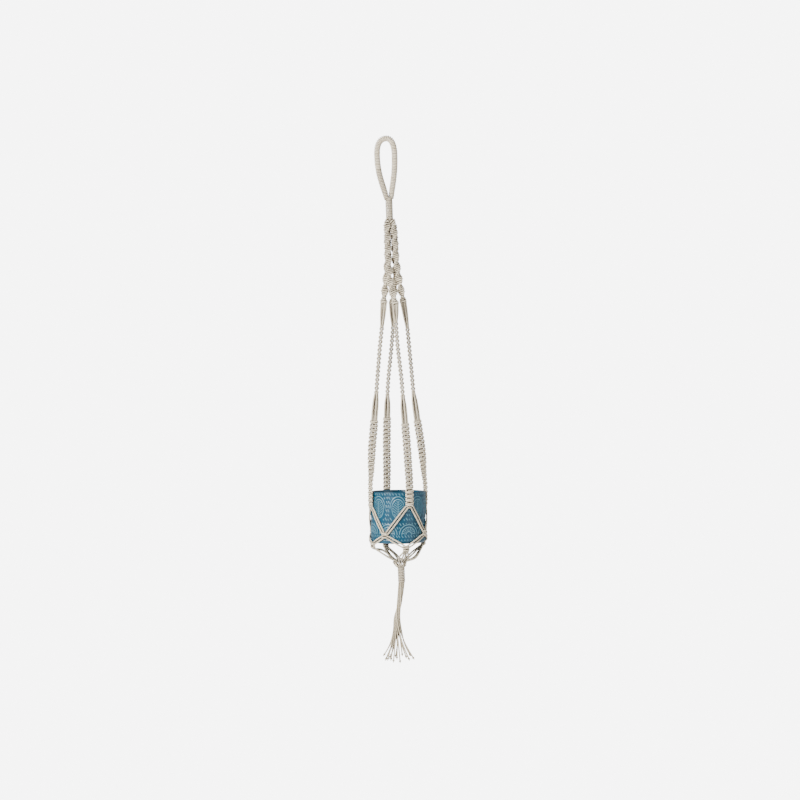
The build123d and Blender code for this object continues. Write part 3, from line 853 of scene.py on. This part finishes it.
for leg in LEG_NAMES:
    box_low, box_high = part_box(f"{leg}_net_lower_cords")
    outer = (Vector(box_low) + Vector(box_high)) / 2 - crown_middle
    place_angle = round_pot(crown_middle + outer * 4)[0]
    angle, radius, height = nearest(second_row, place_angle)
    lines = []
    for number, side in enumerate((-OUTER[0], -INNER[0], INNER[0], OUTER[0])):
        aim = angle + (number - 1.5) * 2 * pi / CROWN_CORDS
        spot = crown_middle + crown_radius * LOWER_END[0] * Vector((cos(aim), sin(aim), LOWER_END[1]))
        start = beside_pot(angle + side / radius, radius, height)
        below = beside_pot(angle + side / radius, radius, height - LOWER_LEAVE)
        turn_in = beside_pot(angle + side / radius, radius - LOWER_TURN[0], height - LOWER_TURN[1])
        fan = Vector((-sin(angle), cos(angle), 0)) * (number - 1.5) * LOWER_FAN
        sag = turn_in.lerp(spot, LOWER_SAG_AT) + fan - Vector((0, 0, LOWER_SAGS[leg][number]))
        lines.append(smooth_line([start, below, turn_in, sag, spot]))
    piece = sweep(f"{leg}_net_lower_runs", lines, ply_profile, LOOSE_CREST, PLY_LAY)
    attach(piece, "cradle")
    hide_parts(f"{leg}_net_lower_cords")

lines = []
for number in range(CROWN_CORDS):
    start = 2 * pi * (number + 0.5) / CROWN_CORDS
    points = []
    for step, (out_by, up_by) in enumerate(CROWN_COURSE):
        angle = start + CROWN_LEAN * step / len(CROWN_COURSE)
        bulge = CROWN_BULGE + CROWN_RIDGES * (number % 2) * (1 - abs(up_by))
        reach = out_by * crown_radius * bulge
        loose = Vector([chance.uniform(-CROWN_UNEVEN, CROWN_UNEVEN) for _ in range(3)])
        points.append(crown_middle + (CROWN_SHIFT + loose) * max(0, 1 + min(up_by, 0))
                      + Vector((reach * cos(angle), reach * sin(angle), up_by * crown_radius)))
    lines.append(smooth_line(points))
lines.append([crown_middle, crown_middle - Vector((0, 0, CROWN_CORE))])
crown = sweep("crown_turned_cords", lines, ply_profile, CROWN_CREST, PLY_LAY)
gather_bundle = upright_bundle("gather_cord_bundle", gather_middle, gather_radius,
                               gather_high[2], gather_low[2] + GATHER_BUNDLE_IN)
for piece in (crown, gather_bundle):
    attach(piece, "gather")
    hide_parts("crown_knot")
print("crown cords:", CROWN_CORDS)

# %% [markdown]
# ## Cotton
# Undyed cotton cord is soft and matt. Its plies are many fine fibres, so it has a fine grain and a pale fuzz
# that catches light at its edges. Shade between the plies and between the cords is painted into the colour:
# ambient occlusion darkens it there towards a deep brown.

# %% Materials
def linear(code):
    """An sRGB hex colour as linear RGBA."""
    values = [int(code[i:i + 2], 16) / 255 for i in (0, 2, 4)]
    return (*[v / 12.92 if v <= 0.04045 else ((v + 0.055) / 1.055) ** 2.4 for v in values], 1)


def add_node(tree, kind, inputs=None, **settings):
    """Add a shader node, set its properties and its inputs, and return it."""
    node = tree.nodes.new(kind)
    for name, value in settings.items():
        setattr(node, name, value)
    for name, value in (inputs or {}).items():
        if isinstance(value, bpy.types.NodeSocket):
            tree.links.new(value, node.inputs[name])
        else:
            node.inputs[name].default_value = value
    return node


def cotton(name, pale, deep):
    """Cotton cord: patches of tone a centimetre wide, a grain of half a millimetre, soft sheen, painted
    crease shade.
    """
    material = bpy.data.materials.new(name)
    material.use_nodes = True
    tree = material.node_tree
    shader = tree.nodes["Principled BSDF"]
    place = add_node(tree, "ShaderNodeTexCoord").outputs["Object"]
    patches = add_node(tree, "ShaderNodeTexNoise", {"Vector": place, "Scale": 90.0, "Detail": 3.0})
    fibres = add_node(tree, "ShaderNodeTexNoise", {"Vector": place, "Scale": 1800.0, "Detail": 2.0})
    tone = add_node(tree, "ShaderNodeMix", {"Factor": patches.outputs["Fac"]}, data_type="RGBA")
    tone.inputs["A"].default_value = linear(deep)
    tone.inputs["B"].default_value = linear(pale)
    # Painted shade: ambient occlusion darkens the colour towards deep brown 3a2714 in the creases between
    # plies and cords.
    painted_shade_occlusion = add_node(tree, "ShaderNodeAmbientOcclusion", {"Distance": 0.0045}, samples=6)
    depth = add_node(tree, "ShaderNodeMapRange",
                     {"Value": painted_shade_occlusion.outputs["AO"], "From Min": 0.52, "From Max": 1.0})
    shade = add_node(tree, "ShaderNodeMix", {"Factor": depth.outputs["Result"]}, data_type="RGBA")
    shade.inputs["A"].default_value = linear("3a2714")
    tree.links.new(tone.outputs["Result"], shade.inputs["B"])
    tree.links.new(shade.outputs["Result"], shader.inputs["Base Color"])
    bump = add_node(tree, "ShaderNodeBump",
                    {"Height": fibres.outputs["Fac"], "Strength": 0.5, "Distance": 0.0004})
    tree.links.new(bump.outputs["Normal"], shader.inputs["Normal"])
    shader.inputs["Roughness"].default_value = 0.9
    shader.inputs["Specular IOR Level"].default_value = 0.2
    shader.inputs["Sheen Weight"].default_value = 0.25
    shader.inputs["Sheen Roughness"].default_value = 0.5
    return material


knotted_cotton = cotton("natural cotton cord", "faefd8", "e8d7b4")
wrapped_cotton = cotton("cotton cord wound tight", "f8ecd6", "e5d3b0")
loose_cotton = cotton("loose cotton cord", "efe3ca", "d6c39c")
knot_cotton = cotton("cotton end knots", "cbbd9f", "a99a7c")
print("cotton materials ready")

# %% [markdown]
# ## Pot
# The pot is slip-cast stoneware with a shallow pressed relief, dipped in a clear teal glaze. The glaze pools
# dark in the hollows and runs thin and pale over the raised lines. A lathed outline cannot carry relief, so
# the skin is a grid of points round the pot's axis, and each point of the outer wall is pushed out where the
# pattern is raised. The same height is kept as an attribute, which the glaze reads.

# %% Pot with its relief
POT_HEIGHT = 0.119
POT_WALL = 0.005
POT_FLOOR = 0.007
POT_FOOT = 0.008
POT_CORNER = 0.005
BASE_SHARE = 0.86
FLOOR_SHARE = 0.8
INSIDE_DOWN = 0.01
INSIDE_RUN = 0.1
POT_COLUMNS = 480
RELIEF_ROWS = 138
RELIEF_BOTTOM = 0.009
RELIEF_TOP = 0.1160
RELIEF_RISE = 0.0006
TILES = 8
FAN_CENTRE = 0.022
FAN_RADIUS = 0.0225
OVAL_CENTRE = 0.081
OVAL_SIZE = (0.0145, 0.0215)
RIB_STEP = 0.0056
STROKE_STEP = (0.0075, 0.0095)


def ridge(distance, width):
    """One on a ridge's crest, falling smoothly to nothing at its width."""
    return max(0, 1 - (distance / width) ** 2)


def hatching(x, y):
    """Short slanted strokes that fill the ground between the pressed shapes."""
    stroke = ridge(((x + 0.7 * y) / STROKE_STEP[0]) % 1 - 0.5, 0.11)
    return stroke * (abs((y / STROKE_STEP[1]) % 1 - 0.5) < 0.28)


def fan_height(x, y):
    """A pressed fan that opens upwards from its centre: three arcs and a row of spokes."""
    reach = (x**2 + y**2) ** 0.5 / FAN_RADIUS
    if y < 0 or reach > 1.10:
        return hatching(x, y)
    height = max(ridge(reach - 1, 0.034), ridge(reach - 0.74, 0.034), ridge(reach - 0.30, 0.036))
    if 0.38 < reach < 0.68:
        height = max(height, ridge((atan2(y, x) / pi * 9) % 1 - 0.5, 0.13))
    return height


def oval_height(x, y):
    """A pressed leaf-like oval: its outline, a stem, ribs that slant up from the stem, and strokes."""
    reach = ((x / OVAL_SIZE[0]) ** 2 + (y / OVAL_SIZE[1]) ** 2) ** 0.5
    height = ridge(reach - 1, 0.042)
    if reach < 0.84:
        rib = ridge(((y - 0.8 * abs(x)) / RIB_STEP) % 1 - 0.5, 0.13)
        height = max(height, ridge(x, 0.0008), rib * (abs(x) > 0.0016))
    if reach > 1.12:
        height = max(height, ridge(reach - 1.30, 0.038) * (y > 0), hatching(x, y) * (reach > 1.42))
    return height


def relief(angle, height):
    """How far the pattern is raised at a place on the outer wall, from nothing to one."""
    tile = 2 * pi / TILES
    across = tile * POT_RADIUS
    if height < (FAN_CENTRE + OVAL_CENTRE) / 2:
        return fan_height(((angle / tile) % 1 - 0.5) * across, height - FAN_CENTRE)
    return oval_height(((angle / tile + 0.5) % 1 - 0.5) * across, height - OVAL_CENTRE)


def rounded(radius, height, size, start, end, steps):
    """Points round a corner of the outline, about its middle, from one angle to another."""
    angles = [radians(start + (end - start) * step / steps) for step in range(steps + 1)]
    return [(radius + size * cos(angle), height + size * sin(angle)) for angle in angles]


relief_step = (RELIEF_TOP - RELIEF_BOTTOM) / RELIEF_ROWS
outline = [(POT_RADIUS * BASE_SHARE * step / 6, 0.0) for step in range(1, 7)]
outline += rounded(POT_RADIUS - POT_FOOT, POT_FOOT, POT_FOOT, -90, 0, 8)
wall_start = len(outline)
outline += [(POT_RADIUS, RELIEF_BOTTOM + relief_step * row) for row in range(RELIEF_ROWS + 1)]
wall_end = len(outline)
outline += rounded(POT_RADIUS - POT_WALL / 2, POT_HEIGHT - POT_WALL / 2, POT_WALL / 2, 0, 180, 8)
outline += [(POT_RADIUS - POT_WALL, POT_HEIGHT - INSIDE_DOWN - INSIDE_RUN * step / 10) for step in range(10)]
outline += rounded(POT_RADIUS - POT_WALL - POT_CORNER, POT_FLOOR + POT_CORNER, POT_CORNER, 0, -90, 5)
outline += [(POT_RADIUS * FLOOR_SHARE * (5 - step) / 5, POT_FLOOR) for step in range(5)]

spots, raised, faces = [], [], []
for ring, (radius, height) in enumerate(outline):
    on_wall = wall_start <= ring < wall_end
    for column in range(POT_COLUMNS):
        angle = 2 * pi * column / POT_COLUMNS
        up_by = relief(angle, height) if on_wall else 0
        pushed = radius + RELIEF_RISE * (up_by - 1) if on_wall else radius
        spots.append(beside_pot(angle, pushed, height - POT_FLOOR))
        raised.append(up_by)
for ring in range(len(outline) - 1):
    for column in range(POT_COLUMNS):
        after = (column + 1) % POT_COLUMNS
        low, high = ring * POT_COLUMNS, (ring + 1) * POT_COLUMNS
        faces.append((low + column, low + after, high + after, high + column))
for height, ring, inside in ((-POT_FLOOR, 0, False), (0, len(outline) - 1, True)):
    spots.append(beside_pot(0, 0, height))
    raised.append(0)
    for column in range(POT_COLUMNS):
        pair = (ring * POT_COLUMNS + column, ring * POT_COLUMNS + (column + 1) % POT_COLUMNS)
        faces.append((*pair, len(spots) - 1) if inside else (*pair[::-1], len(spots) - 1))
pot_mesh = bpy.data.meshes.new("glazed_pot")
pot_mesh.from_pydata(spots, [], faces)
attribute = pot_mesh.attributes.new("relief", "FLOAT", "POINT")
attribute.data.foreach_set("value", raised)
pot_piece = bpy.data.objects.new("glazed_pot", pot_mesh)
bpy.context.collection.objects.link(pot_piece)
bpy.ops.object.select_all(action="DESELECT")
pot_piece.select_set(True)
bpy.context.view_layer.objects.active = pot_piece
bpy.ops.object.shade_smooth()
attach(pot_piece, "pot")
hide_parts("pot")
print("pot:", len(faces), "faces in", len(outline), "rings")

# %% [markdown]
# ### Teal glaze
# The raised lines show a pale grey-blue, where the glaze is thin; the ground is a deep teal that drifts
# between blue and green over a few centimetres, and the surface is glossy.

# %% Pot glaze
def teal_glaze():
    """Teal glaze: pale on the raised lines, deep between them, with drifts of tone about 30 mm across."""
    material = bpy.data.materials.new("teal glaze over relief")
    material.use_nodes = True
    tree = material.node_tree
    shader = tree.nodes["Principled BSDF"]
    place = add_node(tree, "ShaderNodeTexCoord").outputs["Object"]
    patches = add_node(tree, "ShaderNodeTexNoise", {"Vector": place, "Scale": 32.0, "Detail": 4.0})
    ground = add_node(tree, "ShaderNodeMix", {"Factor": patches.outputs["Fac"]}, data_type="RGBA")
    ground.inputs["A"].default_value = linear("04303e")
    ground.inputs["B"].default_value = linear("0a4f6b")
    lines = add_node(tree, "ShaderNodeAttribute", attribute_name="relief")
    tone = add_node(tree, "ShaderNodeMix", {"Factor": lines.outputs["Fac"]}, data_type="RGBA")
    tree.links.new(ground.outputs["Result"], tone.inputs["A"])
    tone.inputs["B"].default_value = linear("76a8b6")
    tree.links.new(tone.outputs["Result"], shader.inputs["Base Color"])
    shader.inputs["Roughness"].default_value = 0.28
    return material


glaze = teal_glaze()
for piece in list(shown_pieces()):
    if piece.type != "MESH":
        continue
    if piece == pot_piece:
        finish, slot = glaze, "glazed_pot"
    elif "end_knot" in piece.name:
        finish, slot = knot_cotton, "tassel_cord"
    elif "tassel" in piece.name:
        finish, slot = loose_cotton, "tassel_cord"
    elif "coils" in piece.name:
        finish, slot = wrapped_cotton, "wrapping_cord"
    elif "bundle" in piece.name:
        finish, slot = wrapped_cotton, "core_cord"
    else:
        finish, slot = knotted_cotton, "knotted_cord"
    piece.data.materials.clear()
    piece.data.materials.append(finish)

# %% [markdown]
# ## Stage and light
# A plain white floor lies far below in an evenly lit white room. One large soft light comes from the left
# and the front, and a weak one fills the other side. What the camera sees of floor and room is brighter than
# the light that they give.

# %% Stage and light
FLOOR = -1.75
ROOM_LIGHT = 0.50
PAPER_WHITE = 7.0
LIGHT_AIM = (0, 0, -0.6)
LIGHTS = (("key", (-2.0, -2.4, 0.5), 1.4, 215), ("fill", (2.2, -2.0, -0.2), 2.0, 20))
bpy.ops.object.select_all(action="DESELECT")
bpy.ops.mesh.primitive_plane_add(size=24, location=(0, 0, FLOOR))
floor = bpy.context.view_layer.objects.active
floor.name = "floor"
paper = bpy.data.materials.new("white paper sweep")
paper.use_nodes = True
paper_shader = paper.node_tree.nodes["Principled BSDF"]
paper_shader.inputs["Base Color"].default_value = linear("ffffff")
paper_shader.inputs["Roughness"].default_value = 0.9
lit_paper = add_node(paper.node_tree, "ShaderNodeEmission", {"Strength": PAPER_WHITE})
paper_seen = add_node(paper.node_tree, "ShaderNodeLightPath").outputs["Is Camera Ray"]
paper_mix = add_node(paper.node_tree, "ShaderNodeMixShader", {"Fac": paper_seen})
paper.node_tree.links.new(paper_shader.outputs["BSDF"], paper_mix.inputs[1])
paper.node_tree.links.new(lit_paper.outputs["Emission"], paper_mix.inputs[2])
paper_out = paper.node_tree.nodes["Material Output"]
paper.node_tree.links.new(paper_mix.outputs["Shader"], paper_out.inputs["Surface"])
floor.data.materials.append(paper)
world = bpy.data.worlds.new("studio")
bpy.context.scene.world = world
world.use_nodes = True
backdrop = world.node_tree.nodes["Background"]
backdrop.inputs["Color"].default_value = (1, 1, 1, 1)
seen = add_node(world.node_tree, "ShaderNodeLightPath").outputs["Is Camera Ray"]
glow = add_node(world.node_tree, "ShaderNodeMix", {"Factor": seen, "A": ROOM_LIGHT, "B": PAPER_WHITE},
                data_type="FLOAT")
world.node_tree.links.new(glow.outputs["Result"], backdrop.inputs["Strength"])


def soft_light(name, place, aim, size, power):
    """A square area light at a place, turned to its aim."""
    light = bpy.data.lights.new(name, "AREA")
    light.energy = power
    light.size = size
    holder = bpy.data.objects.new(name, light)
    bpy.context.collection.objects.link(holder)
    holder.location = place
    holder.rotation_euler = (Vector(aim) - Vector(place)).to_track_quat("-Z", "Y").to_euler()


for name, spot, size, power in LIGHTS:
    soft_light(name, spot, LIGHT_AIM, size, power)
print("lights placed")

# %% [markdown]
# ## Finish
# The profile curves were only tools for the sweeps, so they go.

# %% Finish
for helper in ("ply_profile", "bundle_profile"):
    bpy.data.objects.remove(bpy.data.objects[helper])
